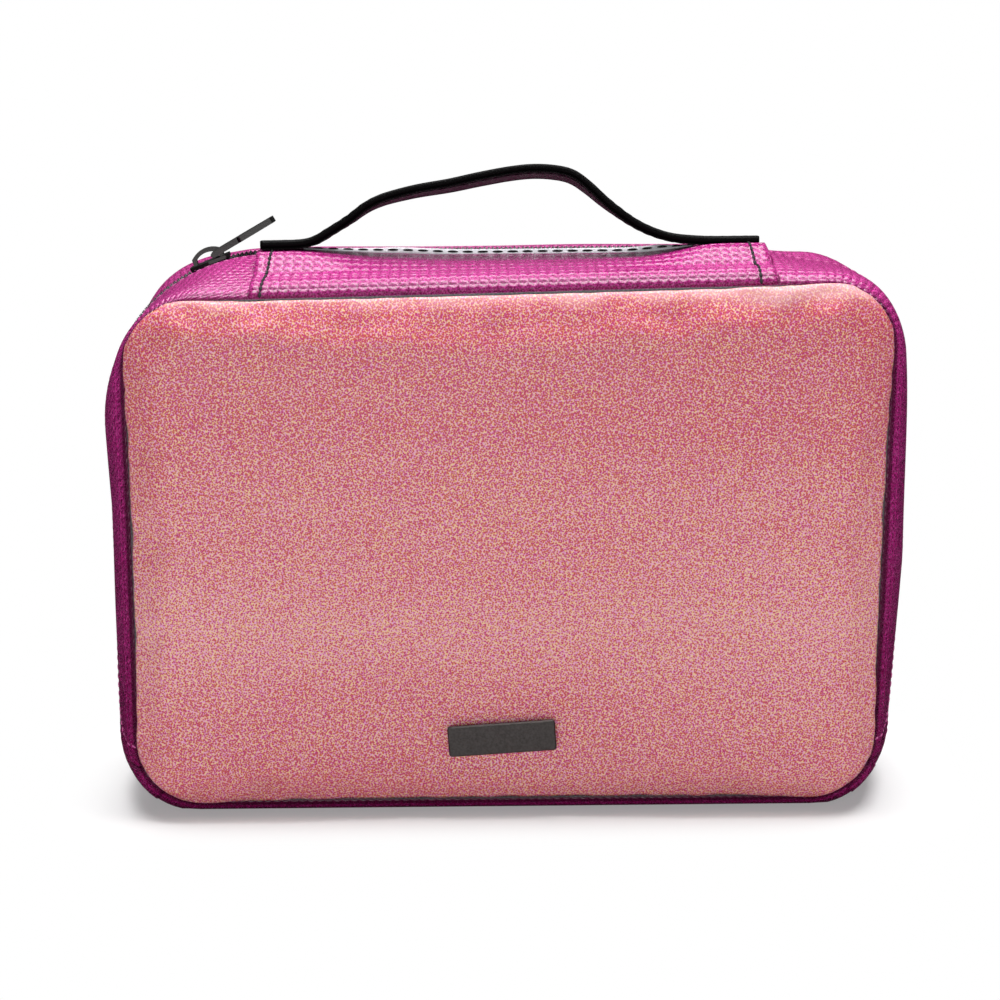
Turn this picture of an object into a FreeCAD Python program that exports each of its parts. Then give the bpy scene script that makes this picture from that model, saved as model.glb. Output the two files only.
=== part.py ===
"""Soft-sided zipped vanity case: padded panels, bulged gusset, zip, strap handle and dividers.

Millimetres, +Z up, front at -Y, +X to the viewer's right, origin at the middle of the flat base.
"""
import FreeCAD, Part
import math
import os

from FreeCAD import Vector

os.makedirs("parts", exist_ok=True)

# Driving dimensions of the case
panel_width = 231.0
panel_bottom = 4.0
panel_height = 160.0
case_depth = 84.0
seam_radius = 21.0
side_bulge = 9.0
top_bulge = 5.5
bottom_bulge = 4.6
left_shoulder_radius = 52.0
right_shoulder_radius = 30.0
foot_radius = 21.0

# Layers of the soft walls
skin = 1.2
padding = 2.8
lining = 0.8
lining_pleats = 3
tape = 0.6
patch_thickness = 1.0
binding_thickness = 1.2
binding_width = 6.0

# Padded panels
front_crown = 6.0
back_crown = 4.5
edge_round = 8.0
panel_steps = 3

# Zip
zip_end_height = 15.0
row_gap = 0.8
coil_width = 2.0
coil_proud = 0.3
skin_edge = 5.4
tape_width = 12.0
end_tab_length = 8.0
end_tab_width = 5.0
end_tab_thickness = 0.8

# Slider and pull
slider_length = 13.0
slider_width = 9.0
slider_plate = 1.0
slider_headroom = 0.9
slider_footroom = 1.0
slider_rest_angle = 21.0
neck_length = 3.0
neck_width = 1.0
flange_width = 1.2
bridge_span = 10.0
bridge_rise = 4.0
bridge_wall = 1.3
bridge_width = 2.6
pin_diameter = 1.5
pin_offset = 2.0
pin_height = 1.25
arm_width = 1.2
arm_clearance = 0.5
link_length = 9.0
link_thickness = 1.8
tab_length = 13.0
tab_width = 7.0
tab_tip_width = 4.6
tab_thickness = 1.8
pull_rest_angle = 9.0

# Handle
strap_width = 14.0
strap_upper = 1.8
strap_under = 1.2
strap_middle = -13.5
strap_arcs = 9
left_end = -75.0
right_end = 77.0
left_lift = -62.0
right_lift = 60.0
left_split = -46.0
right_split = 36.0
handle_peak = 8.0
split_height = 8.0
peak_height = 20.4
handle_lean = 12.0
patch_margin = 1.5
patch_rear_edge = 6.5
patch_crease = -30.0
patch_crease_rise = 4.4
patch_end_rise = 10.0
patch_middle_rise = 7.2

# Plate
plate_width = 33.0
plate_height = 9.6
plate_thickness = 1.0
plate_bevel = 0.35
plate_corner = 1.0
plate_middle = -2.0
plate_rise = 22.3
plate_tilt = 3.5
prong_width = 3.0
prong_thickness = 0.6
prong_spacing = 22.0
prong_fold = 2.4

# Inside
board_length = 186.0
board_depth = 58.0
board_thickness = 2.0
divider_thickness = 5.0
divider_height = 72.0
long_divider_middle = 4.0
cross_divider_spacing = 84.0
pocket_width = 190.0
pocket_height = 74.0
pocket_foot = 32.0
pocket_thickness = 0.6
hem_height = 8.0
hem_thickness = 1.4

# Clearances
moving_gap = 0.4
layer_gap = 0.3
seat_gap = 0.15

# Places worked out from the sizes above
half_depth = case_depth / 2
panel_top = panel_bottom + panel_height
wall = skin + padding + lining
middle_half_width = panel_width / 2 + side_bulge
middle_top = panel_top + top_bulge
zip_arc = half_depth
zip_bend_height = zip_end_height + zip_arc
far = panel_width + panel_height
shoulder = Vector(left_shoulder_radius - middle_half_width, 0, middle_top - left_shoulder_radius)
across = Vector(0, 1, 0)
along = Vector(1, 0, 0)


def save(node, shape):
    """Write one node."""
    shape.exportStep("parts/" + node + ".step")


def block(x0, x1, y0, y1, z0, z1):
    """Box between two corners."""
    return Part.makeBox(x1 - x0, y1 - y0, z1 - z0, Vector(x0, y0, z0))


def corner_edges(centre, radius, start, y, pleats):
    """Quarter turn in an XZ plane, clockwise as seen from the front: one arc, or the flats of a pleated corner."""
    points = []
    for step in range((pleats or 2) + 1):
        turn = math.radians(start - 90 * step / (pleats or 2))
        points.append(Vector(centre[0] + radius * math.cos(turn), y, centre[1] + radius * math.sin(turn)))
    if pleats:
        return [Part.makeLine(first, second) for first, second in zip(points, points[1:])]
    return [Part.Arc(*points).toShape()]


def rounded_wire(y, left, right, bottom, top, radii, pleats=0):
    """Rounded rectangle in an XZ plane; radii run top left, top right, foot right, foot left."""
    r_tl, r_tr, r_fr, r_fl = radii
    corners = (
        corner_edges((left + r_tl, top - r_tl), r_tl, 180, y, pleats),
        corner_edges((right - r_tr, top - r_tr), r_tr, 90, y, pleats),
        corner_edges((right - r_fr, bottom + r_fr), r_fr, 0, y, pleats),
        corner_edges((left + r_fl, bottom + r_fl), r_fl, -90, y, pleats),
    )
    edges = []
    for corner, following in zip(corners, corners[1:] + corners[:1]):
        edges += corner
        start = corner[-1].valueAt(corner[-1].LastParameter)
        end = following[0].valueAt(following[0].FirstParameter)
        edges.append(Part.makeLine(start, end))
    return Part.Wire(edges)


def seam_wire(y, inset):
    """Outline of a panel at its seam, drawn in by an inset."""
    half = panel_width / 2 - inset
    return rounded_wire(y, -half, half, panel_bottom + inset, panel_top - inset, [seam_radius - inset] * 4)


def gusset_wire(share, inset, pleats):
    """Outline of the gusset at a share of the half depth, -1 at the front seam and 1 at the back seam."""
    swell = 1 - share ** 2
    sag = 1 - share ** 6
    half = panel_width / 2 + side_bulge * swell - inset
    top = panel_top + top_bulge * swell - inset
    bottom = panel_bottom - bottom_bulge * sag + inset
    radii = []
    for radius in (left_shoulder_radius, right_shoulder_radius, foot_radius, foot_radius):
        radii.append(seam_radius + (radius - seam_radius) * swell - inset)
    return rounded_wire(share * half_depth, -half, half, bottom, top, radii, pleats)


def gusset_solid(inset, pleats=0):
    """Everything inside the gusset's surface drawn in by an inset."""
    half = (0.3, 0.6, 0.86, 1)
    shares = [-share for share in reversed(half)] + [0] + list(half)
    return Part.makeLoft([gusset_wire(share, inset, pleats) for share in shares], True, True)


def gusset_layer(outer, inner, pleats=0):
    """Closed band between two depths of the gusset's wall, flat where it stands."""
    ring = gusset_solid(outer, pleats).cut(gusset_solid(inner, pleats))
    return ring.common(block(-far, far, -far, far, 0, far))


def zip_region(offset, lid_side):
    """Space on one side of the zip's line, which runs over the top and sides and bends to the front seam."""
    radius = zip_arc + offset
    centre = Vector(0, -half_depth, zip_bend_height)
    low = Vector(0, -half_depth, zip_bend_height - radius)
    bend = Vector(0, offset, zip_bend_height)
    halfway = centre + Vector(0, radius * math.cos(math.radians(45)), -radius * math.sin(math.radians(45)))
    head = Vector(0, offset, far)
    front_low = Vector(0, -far, low.z)
    line = [
        Part.makeLine(front_low, low),
        Part.Arc(low, halfway, bend).toShape(),
        Part.makeLine(bend, head),
    ]
    if lid_side:
        corners = [head, Vector(0, -far, far), front_low]
    else:
        corners = [head, Vector(0, far, far), Vector(0, far, -far), Vector(0, -far, -far), front_low]
    for start, end in zip(corners, corners[1:]):
        line.append(Part.makeLine(start, end))
    face = Part.Face(Part.Wire(line))
    face.translate(Vector(-far, 0, 0))
    return face.extrude(Vector(2 * far, 0, 0))


def lid_band(layer, near, reach=None):
    """Stretch of a gusset layer on the lid, from near to reach away from the zip's line."""
    band = layer.common(zip_region(-near, True))
    if reach is not None:
        band = band.cut(zip_region(-reach, True))
    return band


def body_band(layer, near, reach=None):
    """Stretch of a gusset layer on the body, clear of the lid's panel."""
    band = layer.common(zip_region(near, False))
    if reach is not None:
        band = band.cut(zip_region(reach, False))
    return band.common(block(-far, far, moving_gap - half_depth, half_depth, -far, far))


def panel_solid(crown, start, back):
    """Padded panel's solid outside its seam: a quarter ellipse round the edge and a flat middle."""
    side = 1 if back else -1
    wires = []
    for step in range(panel_steps + 1):
        turn = math.radians(90 * step / panel_steps)
        inset = start + (edge_round - start) * (1 - math.cos(turn))
        wires.append(seam_wire(side * (half_depth + crown * math.sin(turn)), inset))
    return Part.makeLoft(wires, True, True)


def panel_pieces(crown, back):
    """Skin, foam and lining of a padded panel."""
    side = 1 if back else -1
    foam = panel_solid(crown - skin, skin, back)
    half = panel_width / 2 - wall - layer_gap
    bottom = panel_bottom + wall + moving_gap
    top = panel_top - wall - layer_gap
    radius = seam_radius - wall
    sheet = Part.Face(rounded_wire(side * half_depth, -half, half, bottom, top, [radius] * 4, lining_pleats))
    return panel_solid(crown, 0, back).cut(foam), foam, sheet.extrude(Vector(0, -side * lining, 0))


# Layers of the gusset that several pieces share
skin_layer = gusset_layer(0, skin)
padding_layer = gusset_layer(skin, skin + padding)
lining_layer = gusset_layer(skin + padding, wall, lining_pleats)
tape_layer = gusset_layer(skin, skin + tape)
coil_layer = gusset_layer(-coil_proud, skin)
binding_layer = gusset_layer(wall, wall + binding_thickness, lining_pleats)

# Body: gusset, back panel and binding
back_skin, back_foam, back_lining = panel_pieces(back_crown, True)
save("body_gusset_skin", body_band(skin_layer, skin_edge))
save("body_gusset_lining", body_band(lining_layer, tape_width + layer_gap))
save("back_panel_skin", back_skin)
save("back_panel_foam", back_foam)
save("back_panel_lining", back_lining)
back_strip = block(-far, far, half_depth - lining - binding_width, half_depth - lining, -far, far)
save("back_seam_binding", binding_layer.common(back_strip))

# Foam pads in the straight stretches of the gusset's walls
left_straight = left_shoulder_radius - middle_half_width
right_straight = middle_half_width - right_shoulder_radius
foot_straight = panel_width / 2 - seam_radius
pad_low = panel_bottom + max(foot_radius, seam_radius)
side_pads = (
    ("left_pad", block(-far, left_straight, -far, far, pad_low, middle_top - left_shoulder_radius)),
    ("right_pad", block(right_straight, far, -far, far, pad_low, middle_top - right_shoulder_radius)),
    ("top_pad", block(left_straight, right_straight, -far, far, panel_height / 2, far)),
)
for node, stretch in side_pads:
    pad = padding_layer.common(stretch)
    save("body_" + node, body_band(pad, tape_width + layer_gap))
    save("lid_" + node, lid_band(pad, tape_width + layer_gap))
bottom_stretch = block(-foot_straight, foot_straight, -far, far, -far, panel_height / 2)
save("body_bottom_pad", body_band(padding_layer.common(bottom_stretch), tape_width + layer_gap))

# Lid: gusset, front panel and binding
front_skin, front_foam, front_lining = panel_pieces(front_crown, False)
save("lid_gusset_skin", lid_band(skin_layer, skin_edge))
save("lid_gusset_lining", lid_band(lining_layer, tape_width + layer_gap))
front_strip = block(-far, far, lining - half_depth, lining + binding_width - half_depth, -far, far)
save("front_seam_binding", lid_band(binding_layer.common(front_strip), tape_width + layer_gap))

# Binding along the bottom front seam, where the lid folds
hinge_half = panel_width / 2 - seam_radius
hinge_floor = panel_bottom + wall - bottom_bulge / 2
hinge_binding = block(
    -hinge_half, hinge_half, moving_gap + lining - half_depth, moving_gap + lining + binding_width - half_depth,
    hinge_floor, hinge_floor + 2 * binding_thickness)
save("hinge_binding", hinge_binding.common(gusset_solid(wall)))

# Zip tapes, coils and end tabs
save("zip_tape_body", body_band(tape_layer, row_gap, tape_width))
save("zip_tape_lid", lid_band(tape_layer, row_gap, tape_width))
save("zip_coil_body", body_band(coil_layer, row_gap, row_gap + coil_width))
save("zip_coil_lid", lid_band(coil_layer, row_gap, row_gap + coil_width))
tab_layer = gusset_layer(-end_tab_thickness, 0)
tab_strip = block(-far, far, moving_gap - half_depth, end_tab_length - half_depth, -far, far)
save("zip_end_tabs", body_band(tab_layer, skin_edge, skin_edge + end_tab_width).common(tab_strip))

# Slider, built over the left shoulder's centre and turned to its place on the arc
coil_top = shoulder.z + left_shoulder_radius + coil_proud
tape_floor = shoulder.z + left_shoulder_radius - skin - tape
upper_floor = coil_top + slider_headroom
upper_top = upper_floor + slider_plate
lower_top = tape_floor - slider_footroom
lower_floor = lower_top - slider_plate


def slider_plate_solid(floor):
    """Slider plate, drawn in towards the end that the rows leave by."""
    half = slider_width / 2
    nose = half * 0.62
    ends = slider_length / 2
    points = [(-ends, -nose), (0, -half), (ends, -half), (ends, half), (0, half), (-ends, nose)]
    corners = [Vector(shoulder.x + x, y, floor) for x, y in points]
    face = Part.Face(Part.makePolygon(corners + corners[:1]))
    solid = face.extrude(Vector(0, 0, slider_plate))
    upright = [edge for edge in solid.Edges if abs(edge.tangentAt(edge.FirstParameter).z) > 0.9]
    return solid.makeFillet(slider_plate, upright)


def on_arc(shape):
    """Turn a piece built at the top of the shoulder's arc to the slider's place at rest."""
    turned = shape.copy()
    turned.rotate(shoulder, across, -slider_rest_angle)
    return turned


neck = block(
    shoulder.x + neck_length / 2, shoulder.x + neck_length * 1.5, -neck_width / 2, neck_width / 2,
    lower_floor, upper_top)
flange = block(
    shoulder.x, shoulder.x + slider_length / 2 - slider_plate, slider_width / 2 - flange_width, slider_width / 2,
    upper_floor - slider_headroom - coil_proud, upper_top)
slider = slider_plate_solid(upper_floor).fuse([slider_plate_solid(lower_floor), neck, flange])
save("slider_body", on_arc(slider.removeSplitter()))


def arch(half_span, shoulder_rise, crest, width):
    """Arched block over the slider's upper plate."""
    left = Vector(-half_span, 0, shoulder_rise)
    right = Vector(half_span, 0, shoulder_rise)
    feet = (Vector(-half_span, 0, 0), Vector(half_span, 0, 0))
    profile = Part.Wire([
        Part.makeLine(feet[0], left),
        Part.Arc(left, Vector(0, 0, crest), right).toShape(),
        Part.makeLine(right, feet[1]),
        Part.makeLine(feet[1], feet[0]),
    ])
    solid = Part.Face(profile).extrude(Vector(0, width, 0))
    solid.translate(Vector(shoulder.x, -width / 2, upper_top))
    return solid


bridge_foot = bridge_rise / 2
eye_foot = bridge_foot - bridge_wall / 2
bridge = arch(bridge_span / 2, bridge_foot, bridge_rise, bridge_width)
eye = arch(bridge_span / 2 - bridge_wall, eye_foot, bridge_rise - bridge_wall, 2 * bridge_width)
save("slider_bridge", on_arc(bridge.cut(eye)))

# Pull: a pin under the bridge, two arms, a hub and a tapered tab
pin_middle = Vector(shoulder.x + pin_offset, 0, upper_top + pin_height)
arm_inner = bridge_width / 2 + arm_clearance
arm_outer = arm_inner + arm_width


def on_pull(shape):
    """Turn a piece built along +X from the pin to the pull's rest angle above the zip."""
    turned = shape.copy()
    turned.rotate(pin_middle, across, -pull_rest_angle)
    return on_arc(turned)


pin = Part.makeCylinder(
    pin_diameter / 2, 2 * arm_outer, Vector(pin_middle.x, -arm_outer, pin_middle.z), across)
arms = []
for low, high in ((-arm_outer, -arm_inner), (arm_inner, arm_outer)):
    arms.append(block(
        pin_middle.x, pin_middle.x + link_length, low, high,
        pin_middle.z - link_thickness / 2, pin_middle.z + link_thickness / 2))
hub = block(
    pin_middle.x + link_length - arm_width, pin_middle.x + link_length, -arm_outer, arm_outer,
    pin_middle.z - link_thickness / 2, pin_middle.z + link_thickness / 2)
save("pull_link", on_pull(pin.fuse(arms + [hub]).removeSplitter()))

tab_start = pin_middle.x + link_length
tab_end = tab_start + tab_length
tab_corners = [
    Vector(tab_start, -tab_width / 2, pin_middle.z - tab_thickness / 2),
    Vector(tab_end, -tab_tip_width / 2, pin_middle.z - tab_thickness / 2),
    Vector(tab_end, tab_tip_width / 2, pin_middle.z - tab_thickness / 2),
    Vector(tab_start, tab_width / 2, pin_middle.z - tab_thickness / 2),
]
pull_tab = Part.Face(Part.makePolygon(tab_corners + tab_corners[:1])).extrude(Vector(0, 0, tab_thickness))
tip_edges = [edge for edge in pull_tab.Edges if abs(edge.tangentAt(edge.FirstParameter).z) > 0.9]
save("pull_tab", on_pull(pull_tab.makeFillet(tab_tip_width / 4, tip_edges)))

# Handle patch and the strap that is sewn to it
strap_thickness = strap_upper + strap_under
strap_front = strap_middle - strap_width / 2
strap_rear = strap_middle + strap_width / 2
strap_floor = panel_top + patch_end_rise
patch_stations = [
    (left_end - patch_margin, patch_end_rise),
    (left_lift, patch_end_rise),
    (left_split, (2 * patch_end_rise + patch_middle_rise) / 3),
    (0.0, patch_middle_rise),
    (right_split, patch_middle_rise),
    (right_lift, patch_end_rise),
    (right_end + patch_margin, patch_end_rise),
]


def patch_wire(x, rise):
    """Cross-section of the patch and of what it draws up from the gusset, under the strap's line."""
    outline = [
        (-half_depth, panel_top + patch_thickness),
        (patch_crease, panel_top + patch_crease_rise),
        (strap_front, panel_top + rise),
        (-patch_rear_edge, panel_top + rise),
        (-patch_rear_edge, panel_top),
        (-half_depth, panel_top),
    ]
    corners = [Vector(x, y, z) for y, z in outline]
    return Part.makePolygon(corners + corners[:1])


patch = Part.makeLoft([patch_wire(x, rise) for x, rise in patch_stations], True, True)
save("handle_patch", patch.cut(gusset_solid(0)))

strap_route = [
    (left_lift, 0.0),
    (-56.0, 1.4),
    (left_split, split_height),
    (-38.0, 12.3),
    (-24.0, 15.4),
    (-8.0, 18.1),
    (handle_peak, peak_height),
    (19.0, 19.3),
    (27.0, 14.3),
    (right_split, split_height),
    (44.0, 3.4),
    (52.0, 1.0),
    (right_lift, 0.0),
]


def strap_curve():
    """Under face of the strap, from where it leaves the patch on the left to where it lands on the right."""
    curve = Part.BSplineCurve()
    points = [Vector(x, 0, strap_floor + rise) for x, rise in strap_route]
    curve.interpolate(points)
    return curve


def strap_slab(low, high):
    """Layer of the whole strap between two depths above its under face, in arcs, as wide as the strap."""
    curve = strap_curve()
    rows = []
    for depth in (low, high):
        points = []
        for step in range(2 * strap_arcs + 1):
            place = curve.parameterAtDistance(curve.length() * step / (2 * strap_arcs))
            run = curve.tangent(place)[0]
            points.append(curve.value(place) + Vector(-run.z, 0, run.x) * depth)
        rows.append(points)
    edges = [Part.makeLine(rows[0][0], rows[1][0]), Part.makeLine(rows[0][-1], rows[1][-1])]
    for points in rows:
        for start in range(0, 2 * strap_arcs, 2):
            edges.append(Part.Arc(*points[start:start + 3]).toShape())
    face = Part.Face(Part.Wire(Part.__sortEdges__(edges)))
    face.translate(Vector(0, strap_front, 0))
    return face.extrude(Vector(0, strap_width, 0))


split_gap = moving_gap / 2
loop_space = block(left_split + split_gap, right_split - split_gap, -far, far, -far, far)
swing_axis = Vector(0, strap_middle, strap_floor + split_height + strap_thickness / 2)
for node, low, high in (
        ("handle_strap_under", 0.0, strap_under), ("handle_strap_upper", strap_under, strap_thickness)):
    loop = strap_slab(low, high).common(loop_space)
    loop.rotate(swing_axis, along, -handle_lean)
    save(node, loop)

whole_strap = strap_slab(0.0, strap_thickness)
above_patch = block(-far, far, -far, far, strap_floor, far)
for node, low, high, outer in (
        ("strap_end_left", left_end, left_lift, left_split - split_gap),
        ("strap_end_right", right_lift, right_end, right_split + split_gap)):
    pad = block(low, high, strap_front, strap_rear, strap_floor, strap_floor + strap_thickness)
    ramp = whole_strap.common(block(min(low, outer), max(high, outer), -far, far, -far, far))
    save(node, pad.fuse(ramp.common(above_patch)).removeSplitter())

# Bare plate on the front, held by two prongs folded flat behind the skin
plate_height_at = panel_bottom + plate_rise
plate_place = Vector(plate_middle, 0, plate_height_at)
plate_back = -half_depth - front_crown - seat_gap


def on_front(shape):
    """Tilt a piece drawn square about the plate's middle."""
    turned = shape.copy()
    turned.rotate(plate_place, across, -plate_tilt)
    return turned


plate = block(
    plate_middle - plate_width / 2, plate_middle + plate_width / 2, plate_back - plate_thickness, plate_back,
    plate_height_at - plate_height / 2, plate_height_at + plate_height / 2)
plate = plate.makeFillet(plate_corner, [edge for edge in plate.Edges if abs(edge.tangentAt(0).y) > 0.9])
front_edges = [edge for edge in plate.Edges if edge.BoundBox.YMax < plate_back - plate_thickness + seat_gap]
plate = plate.makeChamfer(plate_bevel, front_edges)
prong_back = plate_back + seat_gap + skin + prong_thickness
prongs = []
slots = []
for side in (-1, 1):
    middle = plate_middle + side * prong_spacing / 2
    stem = block(
        middle - prong_thickness / 2, middle + prong_thickness / 2, plate_back - plate_thickness / 2,
        prong_back, plate_height_at - prong_width / 2, plate_height_at + prong_width / 2)
    fold = block(
        middle - prong_fold / 2, middle + prong_fold / 2, prong_back - prong_thickness, prong_back,
        plate_height_at - prong_width / 2, plate_height_at + prong_width / 2)
    prongs += [stem, fold]
    slots.append(on_front(block(
        middle - prong_fold / 2 - layer_gap, middle + prong_fold / 2 + layer_gap, plate_back,
        prong_back + layer_gap, plate_height_at - prong_width / 2 - layer_gap,
        plate_height_at + prong_width / 2 + layer_gap)))
save("name_plate", on_front(plate.fuse(prongs).removeSplitter()))
save("front_panel_skin", front_skin.cut(slots))
save("front_panel_foam", front_foam.cut(slots))
save("front_panel_lining", front_lining)

# Base board and padded dividers
room = gusset_solid(wall + layer_gap, lining_pleats)
bound_room = gusset_solid(wall + binding_thickness + layer_gap, lining_pleats)
board_floor = panel_bottom + wall + layer_gap - bottom_bulge * (1 - (board_depth / case_depth) ** 6)
save("base_board", block(
    -board_length / 2, board_length / 2, -board_depth / 2, board_depth / 2,
    board_floor, board_floor + board_thickness))
divider_floor = board_floor + board_thickness + layer_gap
divider_top = divider_floor + divider_height
long_front = long_divider_middle - divider_thickness / 2
long_rear = long_divider_middle + divider_thickness / 2
save("long_divider", room.common(block(-far, far, long_front, long_rear, divider_floor, divider_top)))
for node, middle in (
        ("left_divider", -cross_divider_spacing / 2), ("right_divider", cross_divider_spacing / 2)):
    cross = block(
        middle - divider_thickness / 2, middle + divider_thickness / 2, long_rear + layer_gap,
        half_depth - lining - layer_gap, divider_floor, divider_top)
    save(node, bound_room.common(cross))

# Net pocket inside the lid, with an elastic hem along its mouth
pocket_front = lining - half_depth + layer_gap
pocket_top = panel_bottom + pocket_foot + pocket_height
save("net_pocket", block(
    -pocket_width / 2, pocket_width / 2, pocket_front, pocket_front + pocket_thickness,
    panel_bottom + pocket_foot, pocket_top))
save("pocket_hem", block(
    -pocket_width / 2, pocket_width / 2, pocket_front, pocket_front + hem_thickness,
    pocket_top + layer_gap, pocket_top + hem_height))
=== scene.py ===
import math

import bmesh
import bpy
import numpy as np
from mathutils import Matrix, Vector


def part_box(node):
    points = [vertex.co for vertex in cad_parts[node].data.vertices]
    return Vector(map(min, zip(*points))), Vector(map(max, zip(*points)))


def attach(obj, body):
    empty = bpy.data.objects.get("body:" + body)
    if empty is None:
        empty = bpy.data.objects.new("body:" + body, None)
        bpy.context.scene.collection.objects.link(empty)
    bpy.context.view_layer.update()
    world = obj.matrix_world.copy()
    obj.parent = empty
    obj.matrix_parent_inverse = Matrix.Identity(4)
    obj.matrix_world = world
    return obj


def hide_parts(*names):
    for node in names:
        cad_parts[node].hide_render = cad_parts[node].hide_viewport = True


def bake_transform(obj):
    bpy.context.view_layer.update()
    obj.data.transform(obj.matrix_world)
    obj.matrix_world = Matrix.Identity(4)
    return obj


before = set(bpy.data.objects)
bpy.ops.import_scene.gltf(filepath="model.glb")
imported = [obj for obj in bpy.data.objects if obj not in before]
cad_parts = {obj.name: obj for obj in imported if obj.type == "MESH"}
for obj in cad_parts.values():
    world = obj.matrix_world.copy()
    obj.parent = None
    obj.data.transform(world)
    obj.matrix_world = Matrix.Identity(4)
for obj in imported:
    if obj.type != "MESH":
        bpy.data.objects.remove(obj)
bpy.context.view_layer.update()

# Vinyl skin of the fold-down front half's gusset
# Glossy magenta vinyl on a woven scrim, cut as one strip, sewn to the front panel along one edge
# and to the zip along the other. It swells between the two seams and is drawn in at them.
mm = 0.001
half_depth = 42.0
panel_half, panel_low, panel_high = 115.5, 4.0, 164.0
seam_radius = 21.0
side_swell, top_swell, foot_sag = 9.0, 5.5, 4.6
shoulder_left, shoulder_right = 52.0, 30.0
zip_turn_height, zip_turn = 57.0, 42.0
seam_draw, seam_reach = 2.2, 3.0
slump, slump_from, slump_run = 3.7, 76.0, 22.0
rear_dip, dip_right, dip_left, dip_reach = 5.0, 92.0, -101.0, 13.0
dip_left_share, dip_from_right, dip_from_left, dip_run = 0.75, -4.5, 2.0, 9.0
shoulder_low, shoulder_run = 120.0, 35.0
foot_tight, foot_high, foot_run = 3.6, 74.0, 52.0
waist_tight, waist_height, waist_reach = 1.5, 148.0, 13.0
left_tight, left_high, left_run = 1.2, 118.0, 25.0
ripple_size, ripple_from, ripple_run = 0.35, 7.0, 12.0


def eased(share):
    """Smooth step from 0 to 1."""
    share = np.clip(share, 0, 1)
    return share * share * (3 - 2 * share)


def hump(place, middle, reach):
    """Smooth hump of height 1."""
    return np.exp(-((place - middle) / reach) ** 2)


def shell(part, f, y, inset):
    """Points of the gusset in mm: part and f say where round the outline, y how deep, inset how far in."""
    part, f, y = np.broadcast_arrays(np.asarray(part), np.asarray(f, float), np.asarray(y, float))
    share = y / half_depth
    swell, sag = 1 - share ** 2, 1 - share ** 6
    deep = inset + seam_draw * hump(np.abs(y), half_depth, seam_reach)
    half = panel_half + side_swell * swell - deep
    top = panel_high + top_swell * swell - deep
    low = panel_low - foot_sag * sag + deep
    left_r = seam_radius + (shoulder_left - seam_radius) * swell - deep
    right_r = seam_radius + (shoulder_right - seam_radius) * swell - deep
    foot_r = seam_radius - deep
    turn = np.radians(90 * f)
    x = np.select(
        [part == k for k in range(9)],
        [-f * (half - foot_r), foot_r - half - foot_r * np.sin(turn), -half,
         left_r - half - left_r * np.cos(turn), (left_r - half) + f * (2 * half - left_r - right_r),
         half - right_r + right_r * np.sin(turn), half, half - foot_r + foot_r * np.cos(turn),
         (half - foot_r) * (1 - f)])
    z = np.select(
        [part == k for k in range(9)],
        [low, low + foot_r - foot_r * np.cos(turn), (low + foot_r) * (1 - f) + (top - left_r) * f,
         top - left_r + left_r * np.sin(turn), top, top - right_r + right_r * np.cos(turn),
         (top - right_r) * (1 - f) + (low + foot_r) * f, low + foot_r - foot_r * np.sin(turn), low])
    dip = rear_dip * (hump(x, dip_right, dip_reach) + dip_left_share * hump(x, dip_left, dip_reach))
    dip = dip * eased((y - np.where(x > 0, dip_from_right, dip_from_left)) / dip_run)
    fall = slump * eased((x - slump_from) / slump_run) + dip
    z = z - fall * swell * np.clip((z - shoulder_low) / shoulder_run, 0, 1)
    right_foot = foot_tight * np.clip((foot_high - z) / foot_run, 0, 1)
    right_waist = waist_tight * hump(z, waist_height, waist_reach)
    left_foot = left_tight * np.clip((left_high - z) / left_run, 0, 1)
    tight = np.where(x > 0, right_foot + right_waist, left_foot)
    x = x - np.sign(x) * tight * swell * np.clip(np.abs(x) / panel_half, 0, 1) ** 6
    ripple = ripple_size * np.sin(x / 13.0 + 0.5 * np.sin(z / 17.0)) * np.sin(z / 15.0 + y / 11.0)
    ripple = ripple * np.clip((np.abs(y) - ripple_from) / ripple_run, 0, 1) * np.clip(swell * 2.2, 0, 1)
    outward_x = np.select([part == 2, part == 6, (part == 1) | (part == 3), (part == 5) | (part == 7)],
                          [-1.0, 1.0, -0.7, 0.7], 0.0)
    outward_z = np.select([part == 4, (part == 3) | (part == 5)], [1.0, 0.7], 0.0)
    return np.stack([x + ripple * outward_x, y + 0 * x, np.maximum(z + ripple * outward_z, 0)], -1)


lean_left, lean_right, lean_slope, lean_height = 0.25, 1.45, 0.0316, 131.0
lift_slope, lift_drop, lift_foot, lift_run = 0.0178, 0.15, 10.0, 154.0


def settle(points):
    """The soft front leans as the photograph shows: its upper right is drawn up and out. Gives metres."""
    points = np.asarray(points, float)
    x, y, z = points[..., 0], points[..., 1], points[..., 2]
    near = eased(-y / half_depth)
    across = np.clip((x + panel_half) / (2 * panel_half), 0, 1)
    aside = lean_left * (1 - across) + across * (lean_right - lean_slope * (lean_height - z))
    lift = (lift_slope * x - lift_drop) * np.clip((z - lift_foot) / lift_run, 0, 1)
    return np.stack([x + near * aside, y, z + near * lift], -1) * mm


def zip_depth(z, away):
    """Depth of a line beside the zip at a height; away is negative on the front half."""
    reach = zip_turn + away
    bend = np.sqrt(np.maximum(reach ** 2 - (zip_turn_height - z) ** 2, 0)) - half_depth
    return np.where(z >= zip_turn_height, away, np.where(zip_turn_height - z >= reach, -half_depth, bend))


zip_end, zip_end_height, zip_end_run = 0.12, 16.0, 28.0


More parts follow.
